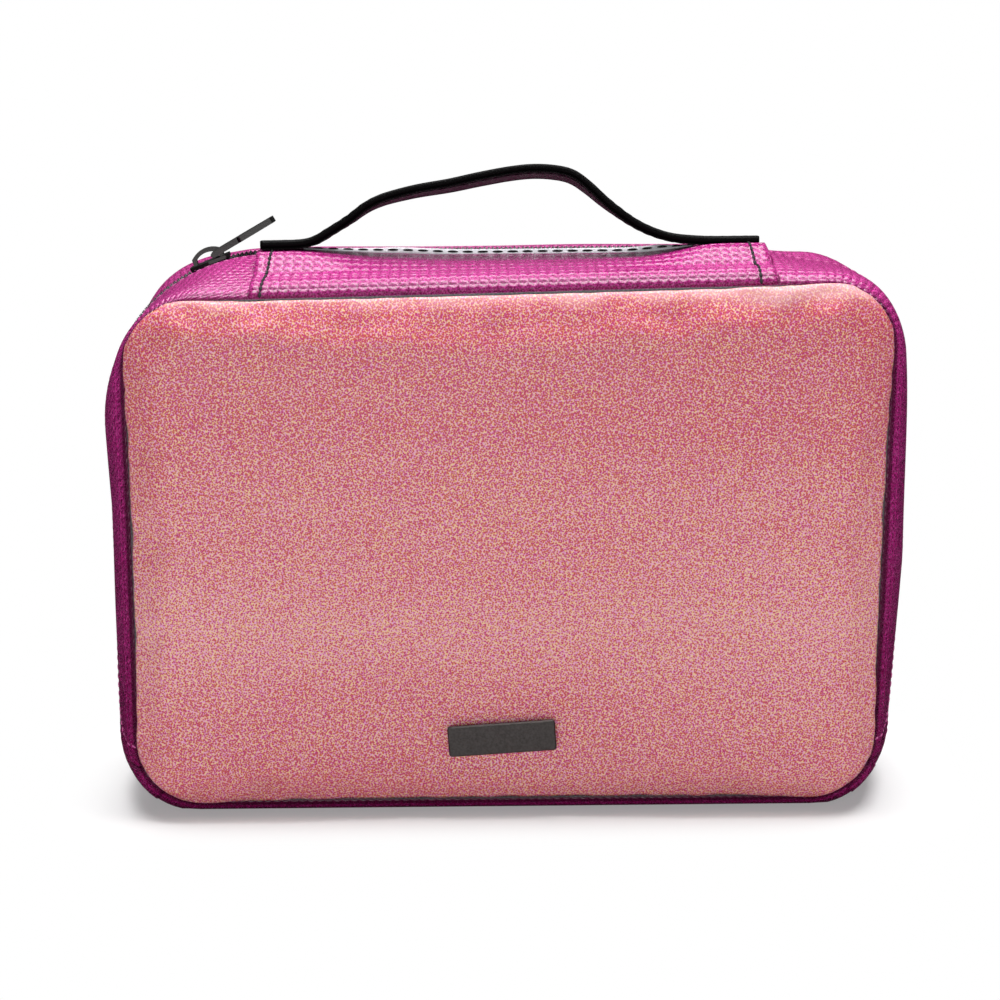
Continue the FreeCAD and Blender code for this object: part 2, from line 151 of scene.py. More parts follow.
def zip_place(part, f, away, inset, closing=False):
    """Depth where the outline meets a line beside the zip; a closing line draws in at the lower ends."""
    low, high = np.full(np.shape(f), -half_depth), np.full(np.shape(f), half_depth)
    for _ in range(36):
        middle = (low + high) / 2
        z = shell(part, f, middle, inset)[..., 2]
        width = zip_end + (1 - zip_end) * eased((z - zip_end_height) / zip_end_run) if closing else 1.0
        beyond = middle > zip_depth(z, away * width)
        high, low = np.where(beyond, middle, high), np.where(beyond, low, middle)
    return (low + high) / 2


def stations(first, last, counts=(20, 14, 30, 26, 56, 18, 30, 14, 20)):
    """Parts and shares of the outline between two places, both given as part plus share."""
    parts, shares = [], []
    for part, count in enumerate(counts):
        low, high = max(first - part, 0), min(last - part, 1)
        if high <= low:
            continue
        steps = max(2, round(count * (high - low)))
        for step in range(steps + (part == math.ceil(last) - 1)):
            parts.append(part)
            shares.append(low + (high - low) * step / steps)
    return np.array(parts), np.array(shares)


def placed(name, data):
    """New object in the scene."""
    piece = bpy.data.objects.new(name, data)
    bpy.context.scene.collection.objects.link(piece)
    return piece


def sheet_of(name, grid, closed=False, flip=False, uv=None, thick=0.0):
    """Mesh object of a grid of points in metres, with a UV map in metres and, if asked for, a wall."""
    rows, columns = grid.shape[:2]
    faces, corner_uv = [], []
    if uv is None:
        along = np.zeros((rows, columns))
        along[1:] = np.cumsum(np.linalg.norm(np.diff(grid, axis=0), axis=-1), 0)
        across = np.zeros((rows, columns))
        across[:, 1:] = np.cumsum(np.linalg.norm(np.diff(grid, axis=1), axis=-1), 1)
        uv = np.stack([np.repeat(along[:, columns // 2:columns // 2 + 1], columns, 1), across], -1)
    for i in range(rows if closed else rows - 1):
        for j in range(columns - 1):
            quad = [(i, j), (i, j + 1), ((i + 1) % rows, j + 1), ((i + 1) % rows, j)]
            if flip:
                quad.reverse()
            faces.append([a * columns + b for a, b in quad])
            corner_uv += [uv[a, b] for a, b in quad]
    mesh = bpy.data.meshes.new(name)
    mesh.from_pydata(grid.reshape(-1, 3).tolist(), [], faces)
    layer = mesh.uv_layers.new(name="UVMap")
    layer.data.foreach_set("uv", np.asarray(corner_uv, np.float32).ravel())
    work = bmesh.new()
    work.from_mesh(mesh)
    bmesh.ops.remove_doubles(work, verts=work.verts, dist=1e-6)
    bmesh.ops.dissolve_degenerate(work, dist=1e-7, edges=work.edges)
    work.to_mesh(mesh)
    work.free()
    mesh.shade_smooth()
    piece = placed(name, mesh)
    if thick:
        wall = piece.modifiers.new("wall", "SOLIDIFY")
        wall.thickness, wall.offset = thick, -1
    return piece


class Strand:
    """A shader socket that takes part in sums written in Python."""

    def __init__(self, tree, socket=None):
        self.tree, self.socket = tree, socket

    def add(self, kind, settings=None, sockets=None, out=0):
        """Any node: its settings first, then the values or links of its sockets."""
        node = self.tree.nodes.new(kind)
        for key, value in (settings or {}).items():
            setattr(node, key, value)
        for key, value in (sockets or {}).items():
            if isinstance(value, Strand):
                self.tree.links.new(value.socket, node.inputs[key])
            else:
                node.inputs[key].default_value = value
        return Strand(self.tree, node.outputs[out])

    def sum(self, operation, *values):
        """One step of arithmetic."""
        return self.add("ShaderNodeMath", {"operation": operation}, dict(enumerate(values)))

    def __add__(self, other):
        return self.sum("ADD", self, other)

    def __radd__(self, other):
        return self.sum("ADD", other, self)

    def __sub__(self, other):
        return self.sum("SUBTRACT", self, other)

    def __rsub__(self, other):
        return self.sum("SUBTRACT", other, self)

    def __mul__(self, other):
        return self.sum("MULTIPLY", self, other)

    def __rmul__(self, other):
        return self.sum("MULTIPLY", other, self)

    def __pow__(self, other):
        return self.sum("POWER", self, other)

    def spot(self):
        """Place in the object, in metres."""
        return self.add("ShaderNodeTexCoord", out=3)

    def uv(self):
        """Place on the piece's own sheet, in metres."""
        return self.add("ShaderNodeTexCoord", out=2)

    def axis(self, number):
        """One number of a place."""
        return self.add("ShaderNodeSeparateXYZ", None, {0: self}, number)

    def stretched(self, *scale):
        """A place whose axes are scaled."""
        return self.add("ShaderNodeMapping", None, {"Vector": self, "Scale": scale})

    def noise(self, scale, detail):
        """Soft noise at a place."""
        return self.add("ShaderNodeTexNoise", None, {"Vector": self, "Scale": scale, "Detail": detail})

    def eased(self, low, high):
        """Smooth step of this number between two others."""
        return self.add("ShaderNodeMapRange", {"interpolation_type": "SMOOTHSTEP"},
                        {0: self, 1: low, 2: high})

    def between(self, first, second):
        """Colour mixed from two by this share."""
        return self.add("ShaderNodeMix", {"data_type": "RGBA", "clamp_factor": True},
                        {0: self, 6: first, 7: second}, 2)

    def bump(self, strength, distance):
        """Normal of a surface that has this height."""
        return self.add("ShaderNodeBump", None, {"Strength": strength, "Distance": distance, "Height": self})


def finish_of(name, **fixed):
    """New material: its shader, with the sockets that are the same all over set on it, and a first strand."""
    material = bpy.data.materials.new(name)
    material.use_nodes = True
    shader = material.node_tree.nodes["Principled BSDF"]
    for key, value in fixed.items():
        shader.inputs[key.replace("_", " ")].default_value = value
    return material, shader, Strand(material.node_tree)


def feed(shader, colour=None, roughness=None, normal=None, alpha=None):
    """Link the strands that vary over a surface."""
    given = {"Base Color": colour, "Roughness": roughness, "Normal": normal, "Alpha": alpha}
    for key, strand in given.items():
        if strand is not None:
            strand.tree.links.new(strand.socket, shader.inputs[key])


scrim_wave = math.pi / (2.95 * mm)
grain_cells = ((0.4, 1480), (1.3, 1340))
# Pale upper edge: partly wear, partly a painted highlight where the edge faces the light from above.
worn_sheen_from, worn_sheen_to, worn_sheen_colour = 0.1570, 0.1635, (0.66, 0.46, 0.44, 1)
# Darkening of the film in the seams is painted shade of the crevice there.
seam_shade_rise, seam_shade_fall, seam_shade_colour = (0.0386, 0.0408), (0.0420, 0.0430), (0.030, 0.001, 0.010, 1)


def vinyl(name, deep, pale, fleck, rough, pillow, coat, rub_and_sheen, level, lit_height, shade_fade):
    """Woven-backed vinyl: the film is drawn into the scrim's meshes like small pillows, over a flecked grain.

    Grains are deep or pale, and each is of a warm or a cool colour; fleck says how strongly they differ and
    rub_and_sheen how pale the upper edge is made, partly worn and partly a painted highlight from the light
    above.
    Level is the share of pale grains at the height that lit_height gives, and shade_fade how fast it falls
    above
    and below: painted light and shade, paler at that height and darker above and below it. In the seams the
    film
    is darkened: painted shade of the crevice.
    """
    material, shader, s = finish_of(name, Specular_IOR_Level=0.28, Coat_Weight=coat, Coat_Roughness=0.15)
    uv, spot = s.uv(), s.spot()
    depth, height = s.sum("ABSOLUTE", spot.axis(1)), spot.axis(2)
    meshes = [s.sum("ABSOLUTE", s.sum("SINE", uv.axis(k) * scrim_wave)) for k in (0, 1)]
    pillows = (meshes[0] * meshes[1]) ** 0.9
    specks = s.add("ShaderNodeTexVoronoi", None, {"Vector": spot, "Scale": 3300, "Randomness": 0.9}, 1)
    grains = []
    for channel, (turn, scale) in enumerate(grain_cells):
        turned = s.add("ShaderNodeMapping", None, {"Vector": uv, "Rotation": (0, 0, turn)})
        cells = s.add("ShaderNodeTexVoronoi", {"voronoi_dimensions": "2D"},
                      {"Vector": turned, "Scale": scale, "Randomness": 0.85})
        speck = s.add("ShaderNodeSeparateColor", None, {0: specks}, channel)
        grains.append(cells * 1.1 + speck * 0.6 - 0.24)
    shade, tint = grains
    bands, worn = spot.stretched(5.0, 12.0, 34.0).noise(1.0, 3.0), spot.noise(95, 4.0)
    # Pale grains fall off away from one height: painted light and shade, paler at that height and darker
    # above and below.
    off_lit_height = s.sum("ABSOLUTE", height - lit_height)
    share = (shade - 0.5) * fleck + (bands - 0.5) * 0.7 + pillows * 0.12 + level - off_lit_height * shade_fade
    hue = (tint - 0.5) * fleck * 0.8 + 0.5
    colour = share.between(hue.between(*deep), hue.between(*pale))
    # Pale upper edge: worn, and a painted highlight from the light above.
    edge = (height + (worn - 0.5) * 0.009).eased(worn_sheen_from, worn_sheen_to)
    colour = (edge * rub_and_sheen).between(colour, worn_sheen_colour)
    # Painted shade in the seam crevice, weaker along the upper edge.
    seam = depth.eased(*seam_shade_rise) - depth.eased(*seam_shade_fall)
    colour = (seam * (0.85 - edge * 0.5)).between(colour, seam_shade_colour)
    normal = (pillows * pillow + shade * 0.02 + worn * 0.1).bump(1.0, 1.0 * mm)
    feed(shader, colour, rough + (tint - 0.5) * 0.3 + (bands - 0.5) * 0.15, normal)
    return material


# Painted light and shade make this vinyl paler on top and darker lower down.
magenta = vinyl("magenta_vinyl", deep=((0.14, 0.002, 0.040, 1), (0.12, 0.002, 0.056, 1)),
                pale=((0.38, 0.014, 0.172, 1), (0.51, 0.042, 0.275, 1)), fleck=1.5, rough=0.24, pillow=0.42,
                coat=0.10, rub_and_sheen=0.0, level=0.49, lit_height=0.170, shade_fade=4.0)
outline_end = 9.0
lid_start, lid_end = 1.70, 7.30
seam_start, seam_end = 1.8594, 7.1406
skin, skin_edge = 1.2, 5.4
sink_height, sink_run, sink_right, sink_right_run = 150.0, 35.0, 62.0, 16.0


def down_side(points):
    """0 on the top and its left shoulder, 1 at the right and down the sides, where the zip lies deeper."""
    x, z = points[..., 0], points[..., 2]
    return eased(np.maximum((sink_height - z) / sink_run, (x - sink_right) / sink_right_run))


def gusset(name, first, last, front, back, inset, rows, closing=False, sunk=0.0, **more):
    """Strip of the gusset between two depths; a depth in a tuple is the distance of a line beside the zip."""
    parts, shares = stations(first, last)
    ends = []
    for end in (front, back):
        if isinstance(end, tuple):
            ends.append(zip_place(parts, shares, end[0], np.mean(inset), closing))
        else:
            ends.append(np.full(len(parts), end))
    t = np.linspace(0, 1, rows)
    y = ends[0][:, None] + (np.maximum(ends[1] - ends[0], 0))[:, None] * t[None, :]
    depth = inset if np.ndim(inset) == 0 else np.asarray(inset)[None, :]
    depth = depth + sunk * down_side(shell(parts[:, None], shares[:, None], y, depth))
    return sheet_of(name, settle(shell(parts[:, None], shares[:, None], y, depth)), **more)


def paint(piece, material):
    """One material all over."""
    piece.data.materials.clear()
    piece.data.materials.append(material)


def dress(piece, material, body, slot, *nodes):
    """Material, body and the CAD nodes that a piece stands for; the finish slot is not used."""
    paint(piece, material)
    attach(piece, body)
    if nodes:
        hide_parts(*nodes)


lid_skin = gusset("lid_gusset_vinyl", lid_start, lid_end, -half_depth, (-skin_edge,), inset=-skin, rows=18,
                  closing=True, flip=True, thick=skin * mm)
dress(lid_skin, magenta, "lid", "gusset_vinyl", "lid_gusset_skin")

# Vinyl skin of the body's gusset
# The same magenta vinyl, running right round behind the zip, with the bottom that the case stands on.
# Sewn to the back panel, to the zip, and along the bottom front seam to the front panel, where it folds.
body_skin = gusset("body_gusset_vinyl", 0.0, outline_end, (skin_edge,), half_depth, inset=-skin, rows=22,
                   closing=True, flip=True, thick=skin * mm)
dress(body_skin, magenta, "case_body", "gusset_vinyl", "body_gusset_skin")

# Padded front panel
# Salmon vinyl with the same scrim over a foam pad, turned in at the seam all round; puffed by the pad,
# with small puckers where the seam holds it. The cloth simulation swells it from a slightly smaller form.
# Its upper edge is made pale, worn and with a painted highlight, and painted light and shade make it paler a
# third of the way up than at its top and bottom.
salmon = vinyl("salmon_vinyl", deep=((0.42, 0.060, 0.028, 1), (0.38, 0.018, 0.120, 1)),
               pale=((0.60, 0.420, 0.200, 1), (0.55, 0.240, 0.40, 1)), fleck=2.7, rough=0.46, pillow=0.05,
               coat=0.0, rub_and_sheen=0.4, level=0.57, lit_height=0.062, shade_fade=6.2)
panel_middle, panel_tall = (panel_low + panel_high) / 2, (panel_high - panel_low) / 2
front_crown, back_crown, edge_round = 6.0, 4.5, 8.0
rim_out = seam_draw - 0.1
pad_back, pad_dome = 12.0, 0.9


def pad_mesh(name, crown, side):
    """Closed pad on a panel's seam outline: a rounded rim, a gently domed face and a flat back."""
    parts, shares = stations(0.0, outline_end)
    parts, shares = parts[:-1], shares[:-1]
    rim = shell(parts, shares, side * half_depth, -rim_out)
    middle = np.array([0.0, 0.0, panel_middle])
    rings = []
    for inset in (0.0, 0.3, 1.0, 2.2, 3.8, 5.8, edge_round, 11.0, 15.0, 19.0):
        ring = shell(parts, shares, side * half_depth, inset - rim_out)
        rise = crown * math.sqrt(max(0.0, 1 - max(0.0, 1 - inset / edge_round) ** 2))
        ring[:, 1] = side * (half_depth + rise)
        rings.append(ring)
    last = rings[-1]
    for share in np.linspace(0.9, 0.0, 10):
        ring = middle + (last - middle) * share
        ring[:, 1] = last[:, 1]
        rings.append(ring)
    for ring in rings:
        x, z = ring[:, 0] / panel_half, (ring[:, 2] - panel_middle) / panel_tall
        ring[:, 1] += side * pad_dome * np.clip(1 - x ** 2, 0, 1) * np.clip(1 - z ** 2, 0, 1)
    back = []
    for share in (1.0, 0.8, 0.5, 0.0):
        ring = middle + (rim - middle) * share
        ring[:, 1] = side * (half_depth - pad_back)
        back.append(ring)
    grid = np.array(back[::-1] + rings)
    return sheet_of(name, np.swapaxes(grid, 0, 1) * mm, closed=True, flip=side > 0)


pad_voxel, cloth_frames = 3.0, 20
pucker_size, pucker_inset, pucker_reach = 0.30, 3.0, 3.2
dent_depth, dent_x, dent_z = 1.3, -73.0, 10.0
slack_size = 0.35
plate_bed, plate_slope, plate_reach = 2.0, 0.09, 60.0


def points_of(mesh):
    """Points of a mesh as rows."""
    points = np.zeros(len(mesh.vertices) * 3)
    mesh.vertices.foreach_get("co", points)
    return points.reshape(-1, 3)


def evened(pad, side):
    """Even out the pad's mesh and cut it off at the seam; gives its points."""
    remesh = pad.modifiers.new("even", "REMESH")
    remesh.mode, remesh.voxel_size = "VOXEL", pad_voxel * mm
    view = bpy.context.evaluated_depsgraph_get()
    mesh = bpy.data.meshes.new_from_object(pad.evaluated_get(view))
    old, pad.data = pad.data, mesh
    bpy.data.meshes.remove(old)
    pad.modifiers.clear()
    work = bmesh.new()
    work.from_mesh(mesh)
    cut = bmesh.ops.bisect_plane(
        work, geom=work.verts[:] + work.edges[:] + work.faces[:], dist=1e-5,
        plane_co=(0, side * half_depth * mm, 0), plane_no=(0, -side, 0), clear_outer=True)
    bmesh.ops.contextual_create(work, geom=[e for e in cut["geom_cut"] if isinstance(e, bmesh.types.BMEdge)])
    bmesh.ops.triangulate(work, faces=[f for f in work.faces if len(f.verts) > 4])
    bmesh.ops.recalc_face_normals(work, faces=work.faces)
    work.to_mesh(mesh)
    work.free()
    return points_of(mesh)


def blown_up(pad, start, most):
    """Points of the pad after the cloth solver has swelled it, each moved by so many mm at most."""
    held = pad.vertex_groups.new(name="held")
    fixed = np.abs(start[:, 1]) < (half_depth + 0.8) * mm
    held.add(np.nonzero(fixed)[0].tolist(), 1.0, "REPLACE")
    cloth = pad.modifiers.new("air", "CLOTH")
    cloth.settings.quality = 6
    cloth.settings.mass = 0.02
    cloth.settings.use_pressure = True
    cloth.settings.uniform_pressure_force = 4.0
    cloth.settings.effector_weights.gravity = 0
    cloth.settings.vertex_group_mass = "held"
    cloth.settings.shrink_min = -0.012
    cloth.collision_settings.use_collision = False
    scene = bpy.context.scene
    for number in range(1, cloth_frames + 1):
        scene.frame_set(number)
    view = bpy.context.evaluated_depsgraph_get()
    swollen = bpy.data.meshes.new_from_object(pad.evaluated_get(view))
    moved = points_of(swollen) - start
    pad.modifiers.clear()
    scene.frame_set(1)
    bpy.data.meshes.remove(swollen)
    length = np.linalg.norm(moved, axis=1, keepdims=True)
    return start + moved * np.minimum(1, most * mm / np.maximum(length, 1e-9))


def puff(pad, side, most):
    """Swell the pad, pucker it at the seam and slacken it a little; the front is pressed in by its plate."""
    start = evened(pad, side)
    start = blown_up(pad, start, most)
    x, y, z = (start / mm).T
    from_side, from_end = panel_half - np.abs(x), np.minimum(z - panel_low, panel_high - z)
    round_it = np.where(from_side < from_end, z, x)
    pucker = pucker_size * np.sin(round_it / 2.7 + np.sin(round_it / 9.0))
    pucker = pucker * hump(np.minimum(from_side, from_end), pucker_inset, pucker_reach)
    dent = dent_depth * hump(x, dent_x, 4.0) * hump(z, dent_z, 5.0)
    slack = slack_size * np.sin(x / 31.0 + z / 57.0) * np.sin(z / 23.0)
    start[:, 1] += -side * (pucker + dent * (side < 0) + slack) * (np.abs(y) > half_depth + 0.6) * mm
    if side < 0:
        low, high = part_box("name_plate")
        beyond = np.maximum.reduce([low[0] - start[:, 0], start[:, 0] - high[0], low[2] - start[:, 2],
                                    start[:, 2] - high[2]]) / mm
        face = high[1] - 0.05 * mm - np.clip(beyond + plate_bed, 0, plate_reach) * plate_slope * mm
        start[:, 1] = np.maximum(start[:, 1], face)
    start = settle(start / mm)
    pad.data.vertices.foreach_set("co", start.ravel())
    pad.data.update()
    pad.data.shade_smooth()
    smooth = pad.modifiers.new("smooth", "SUBSURF")
    smooth.levels = smooth.render_levels = 1
    uv = pad.data.uv_layers.get("UVMap") or pad.data.uv_layers.new(name="UVMap")
    where = np.zeros(len(pad.data.loops), np.int32)
    pad.data.loops.foreach_get("vertex_index", where)
    uv.data.foreach_set("uv", np.ascontiguousarray(start[where][:, [0, 2]], np.float32).ravel())
    return pad


front_pad = puff(pad_mesh("front_panel_pad", crown=front_crown, side=-1), side=-1, most=2.0)
dress(front_pad, salmon, "lid", "front_vinyl", "front_panel_skin", "front_panel_foam")

# Padded back panel
# The same pad as the front in magenta vinyl, a little flatter, sewn to the body's gusset.
back_pad = puff(pad_mesh("back_panel_pad", crown=back_crown, side=1), side=1, most=1.5)
dress(back_pad, magenta, "case_body", "gusset_vinyl", "back_panel_skin", "back_panel_foam")

# Handle patch
# A wide strip of magenta vinyl from the front seam to just before the zip, drawn up like a tent under
# the strap's two ends, sewn down through its short sides and along its rear edge.
strap_front, strap_rear, strap_floor = -20.5, -6.5, 174.0
tent_foot = -33.0
rise_x = [-78.0, -62.0, -54.0, -40.0, -15.0, 20.0, 42.0, 52.0, 60.0, 84.0]
rise_z = [173.8, 173.9, 173.0, 171.4, 170.2, 169.9, 170.2, 171.6, 173.8, 173.8]


def smooth_line(x, places, heights):
    """Rounded line through a few heights."""
    x = np.asarray(x, float)
    return sum(np.interp(x + shift, places, heights) for shift in np.linspace(-5, 5, 11)) / 11


def crest(y):
    """Height of the plain top gusset at a depth."""
    return panel_high + top_swell * (1 - (y / half_depth) ** 2)


def patch_height(x, y):
    """Height of the patch's top face."""
    top = smooth_line(x, rise_x, rise_z)
    lying = crest(y) + 0.9
    inward = np.clip((y + half_depth) / 9.0, 0, 1)
    roll = panel_high - 1.6 + 5.8 * np.sqrt(1 - (1 - inward) ** 2)
    drawn = eased((y - tent_foot) / (strap_front - tent_foot))
    fold = 0.6 * hump(y, -31.0, 1.6) * np.clip((x - 20) / 25, 0, 1)
    lean_back = 0.1 * np.clip(y - strap_front, 0, 20) * np.clip((top - 171) / 2.5, 0, 1)
    tent = np.minimum(roll, lying + 2.2) * (1 - drawn) + top * drawn
    return np.maximum(tent, lying * drawn) - fold - lean_back


def patch_point(x, y):
    """Points of the patch's top face."""
    return np.stack([x, y, patch_height(x, y)], -1)


patch_share = np.linspace(0, 1, 96)[:, None]
patch_y = np.concatenate([np.linspace(-41.95, -39.0, 8)[:-1], np.linspace(-39.0, strap_rear, 38)])
patch_run = half_depth + strap_rear
patch_left = -77.0 + 2.4 * (patch_y + half_depth) / patch_run
patch_right = 79.4 - 1.8 * (patch_y + half_depth) / patch_run
plan_x = patch_left + (patch_right - patch_left) * patch_share
patch_grid = patch_point(plan_x, np.broadcast_to(patch_y, plan_x.shape))
lying = crest(patch_y) - 0.3
side_left, side_right = patch_grid[:1].copy(), patch_grid[-1:].copy()
side_left[0, :, 0] -= 0.5 + 0.25 * (side_left[0, :, 2] - lying)
side_right[0, :, 0] += 0.5 + 0.45 * (side_right[0, :, 2] - lying)
side_left[0, :, 2] = lying - 1.0
side_right[0, :, 2] = lying - 0.3
patch_grid = np.concatenate([side_left, patch_grid, side_right])
rear_low = patch_grid[:, -1:].copy()
rear_low[..., 1] += 0.3
rear_low[..., 2] = np.minimum(rear_low[..., 2], panel_high + 5.1)
patch_grid = np.concatenate([patch_grid, rear_low], 1)
patch = sheet_of("handle_patch_vinyl", settle(patch_grid), flip=True, thick=0.8 * mm)
dress(patch, magenta, "lid", "gusset_vinyl", "handle_patch")

# Strap handle
# Two layers of leather, black above and grey-brown below, with painted edges, sewn together along both sides
# and sewn down flat at its ends; it rises in one stiff bow and leans back, so that its under face shows.
strap_half, strap_upper, strap_under = 7.0, 2.0, 0.6
swing_height, strap_middle = 183.5, -13.5
strap_steps, section_length = 150, 0.03
strap_lean, strap_bow_lean = 6.0, 8.5
strap_line = [
    (-74.3, 0.05), (-69, 0.1), (-62, 0.35), (-57, 1.6), (-51.5, 4.8), (-46, 8.0), (-41.5, 10.8), (-37, 12.6),
    (-32, 13.8), (-25.5, 15.0), (-16, 16.3), (-6.7, 18.0), (2.4, 19.5), (9.4, 20.1), (15.8, 19.7),
    (20.6, 18.5), (25.2, 15.6), (29.7, 12.2), (34.3, 9.1), (39.1, 6.1), (43.7, 3.7), (48.5, 1.9), (53, 0.9),
    (59, 0.3), (65, 0.05), (78.0, 0.05)]


def strap_frames():
    """Middle of the strap's under face, its side and up directions and its length so far, in mm."""
    knots = np.array([(x, rise + strap_floor) for x, rise in strap_line], float)
    curve = []
    padded = np.vstack([2 * knots[0] - knots[1], knots, 2 * knots[-1] - knots[-2]])
    for a, b, c, d in zip(padded, padded[1:], padded[2:], padded[3:]):
        for t in np.arange(0, 1, 0.1):
            curve.append(0.5 * (2 * b + (c - a) * t + (2 * a - 5 * b + 4 * c - d) * t * t
                                + (3 * b - a - 3 * c + d) * t ** 3))
    curve = np.array(curve + [knots[-1]])
    length = np.concatenate([[0], np.cumsum(np.linalg.norm(np.diff(curve, axis=0), axis=1))])
    even = np.linspace(0, length[-1], strap_steps)
    x, z = np.interp(even, length, curve[:, 0]), np.interp(even, length, curve[:, 1])
    raised = eased((z - strap_floor - 5.0) / 14.0)
    lean = np.radians(strap_lean + strap_bow_lean * raised)
    z = z - 1.1 + 1.5 * raised
    middle = np.stack([x, strap_middle + np.maximum(z - swing_height, 0) * np.sin(lean), z], -1)
    run = np.gradient(middle, axis=0)
    run /= np.linalg.norm(run, axis=1, keepdims=True)
    side = np.stack([0 * x, np.cos(lean), -np.sin(lean)], -1)
    side -= run * (side * run).sum(1, keepdims=True)
    side /= np.linalg.norm(side, axis=1, keepdims=True)
    return middle, side, np.cross(run, side), even


def close_ends(piece):
    """Fill the open ends of a tube and turn its faces outwards."""
    work = bmesh.new()
    work.from_mesh(piece.data)
    bmesh.ops.holes_fill(work, edges=[e for e in work.edges if e.is_boundary], sides=0)
    bmesh.ops.recalc_face_normals(work, faces=work.faces)
    work.to_mesh(piece.data)
    work.free()
    piece.data.shade_smooth()


def strap_layer(name, low, high, half, crown):
    """Layer of the strap with rounded edges, closed at both ends."""
    middle, side, up, even = strap_frames()
    edge = min(0.55, (high - low) * 0.42)
    section = [(-half + edge, low), (-half * 0.4, low), (half * 0.4, low), (half - edge, low),
               (half, low + edge), (half, high - edge), (half - edge, high), (half * 0.4, high + crown),
               (-half * 0.4, high + crown), (-half + edge, high), (-half, high - edge), (-half, low + edge)]
    grid = np.array([middle + side * a + up * b for a, b in section])
    turn = np.linspace(0, section_length, len(section))
    uv = np.stack(np.broadcast_arrays(even[None, :] * mm, turn[:, None]), -1)
    piece = sheet_of(name, grid * mm, closed=True, flip=True, uv=uv)
    close_ends(piece)
    return piece


def leather(name, deep, pale, rough, painted=None):
    """Smooth leather: pores and fine creases, with colour that varies a little.

    Outside the two places across that painted gives, the edge paint has run over it in an uneven line.
    """
    material, shader, s = finish_of(name, Specular_IOR_Level=0.04)
    spot = s.spot()
    pores = s.add("ShaderNodeTexVoronoi", {"feature": "DISTANCE_TO_EDGE"}, {"Vector": spot, "Scale": 1100})
    cloud = spot.noise(140, 4.0)
    crease = s.sum("MINIMUM", pores * 5.0, 1.0)
    colour = ((cloud - 0.5) * 1.6 + 0.5).between(deep, pale)
    if painted:
        across = s.uv().axis(1) + (cloud - 0.5) * 0.002
        bare = s.sum("GREATER_THAN", across, painted[0]) * s.sum("LESS_THAN", across, painted[1])
        colour = bare.between((0.0012, 0.0010, 0.0012, 1), colour)
    normal = (crease * 0.6 + cloud * 0.4).bump(0.8, 0.12 * mm)
    feed(shader, colour, rough + (cloud - 0.5) * 0.25, normal)
    return material


black_leather = leather("black_leather", deep=(0.0006, 0.0005, 0.0006, 1), pale=(0.0022, 0.0018, 0.0020, 1),
                        rough=0.5)
brown_leather = leather("brown_leather", deep=(0.030, 0.023, 0.026, 1), pale=(0.075, 0.060, 0.066, 1),
                        rough=0.65, painted=(0.0021, 0.0074))


def sew_strap(piece, material, slot, *nodes):
    """As dress, but baked in place and not attached to a body, for a piece that bends between the lid and the
    handle; the finish slot is not used.
    """
    paint(piece, material)
    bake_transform(piece)
    if nodes:
        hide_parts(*nodes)


strap_top = strap_layer("handle_strap_black", low=strap_under, high=strap_under + strap_upper,
                        half=strap_half, crown=0.15)
sew_strap(strap_top, black_leather, "strap_leather", "handle_strap_upper", "strap_end_left",
          "strap_end_right")
strap_base = strap_layer("handle_strap_brown", low=0.0, high=strap_under, half=strap_half - 0.15, crown=0.0)
sew_strap(strap_base, brown_leather, "strap_lining", "handle_strap_under")

# Sewing
# Single rows of lockstitch: black thread round the patch and on the strap, magenta thread beside the zip.
# Each stitch lies in the surface it holds, drawn down at its two ends.


def row_tree(name, ring):
    """Geometry nodes that repeat one shape along a line, turned to the line and to its surface."""
    tree = bpy.data.node_groups.new(name, "GeometryNodeTree")
    tree.interface.new_socket("Line", in_out="INPUT", socket_type="NodeSocketGeometry")
    for label in ("Pitch", "Length", "Width", "Height"):
        tree.interface.new_socket(label, in_out="INPUT", socket_type="NodeSocketFloat")
    tree.interface.new_socket("Finish", in_out="INPUT", socket_type="NodeSocketMaterial")
    tree.interface.new_socket("Row", in_out="OUTPUT", socket_type="NodeSocketGeometry")
    s = Strand(tree)
    given = tree.nodes.new("NodeGroupInput").outputs
    line, pitch, length, width, height, finish = [Strand(tree, socket) for socket in given[:6]]
    halves = [length * 0.5, width * 0.5, height * 0.5]
    curve = s.add("GeometryNodeMeshToCurve", None, {0: line})
    spaced = s.add("GeometryNodeResampleCurve", {"mode": "LENGTH"}, {0: curve, "Length": pitch})
    if ring:
        scale = (1.0, 1.0, 1.0)
        loop = s.add("GeometryNodeCurvePrimitiveCircle", None, {"Resolution": 10, "Radius": 1.0})
        wire = s.add("GeometryNodeCurvePrimitiveCircle", None, {"Resolution": 5, "Radius": halves[0]})
        flat = s.add("ShaderNodeCombineXYZ", None, {0: halves[2], 1: halves[1], 2: 1.0})
        loop = s.add("GeometryNodeTransform", None, {0: loop, "Scale": flat})
        loop = s.add("GeometryNodeTransform", None, {0: loop, "Rotation": (0, math.pi / 2, 0.18)})
        shape = s.add("GeometryNodeCurveToMesh", None, {0: loop, 1: wire})
    else:
        scale = s.add("ShaderNodeCombineXYZ", None, dict(enumerate(halves)))
        ball = s.add("GeometryNodeMeshUVSphere", None, {"Segments": 7, "Rings": 6, "Radius": 1.0})
        shape = s.add("GeometryNodeTransform", None, {0: ball, "Rotation": (0, math.pi / 2, 0)})
    run = s.add("GeometryNodeInputTangent")
    up = s.add("GeometryNodeInputNamedAttribute", {"data_type": "FLOAT_VECTOR"}, {"Name": "up"})
    turn = s.add("FunctionNodeAxesToRotation", {"primary_axis": "X", "secondary_axis": "Z"}, {0: run, 1: up})
    row = s.add("GeometryNodeInstanceOnPoints", None,
                {"Points": spaced, "Instance": shape, "Rotation": turn, "Scale": scale})
    row = s.add("GeometryNodeRealizeInstances", None, {0: row})
    row = s.add("GeometryNodeSetShadeSmooth", None, {0: row})
    row = s.add("GeometryNodeSetMaterial", None, {0: row, "Material": finish})
    tree.links.new(row.socket, tree.nodes.new("NodeGroupOutput").inputs[0])
    return tree


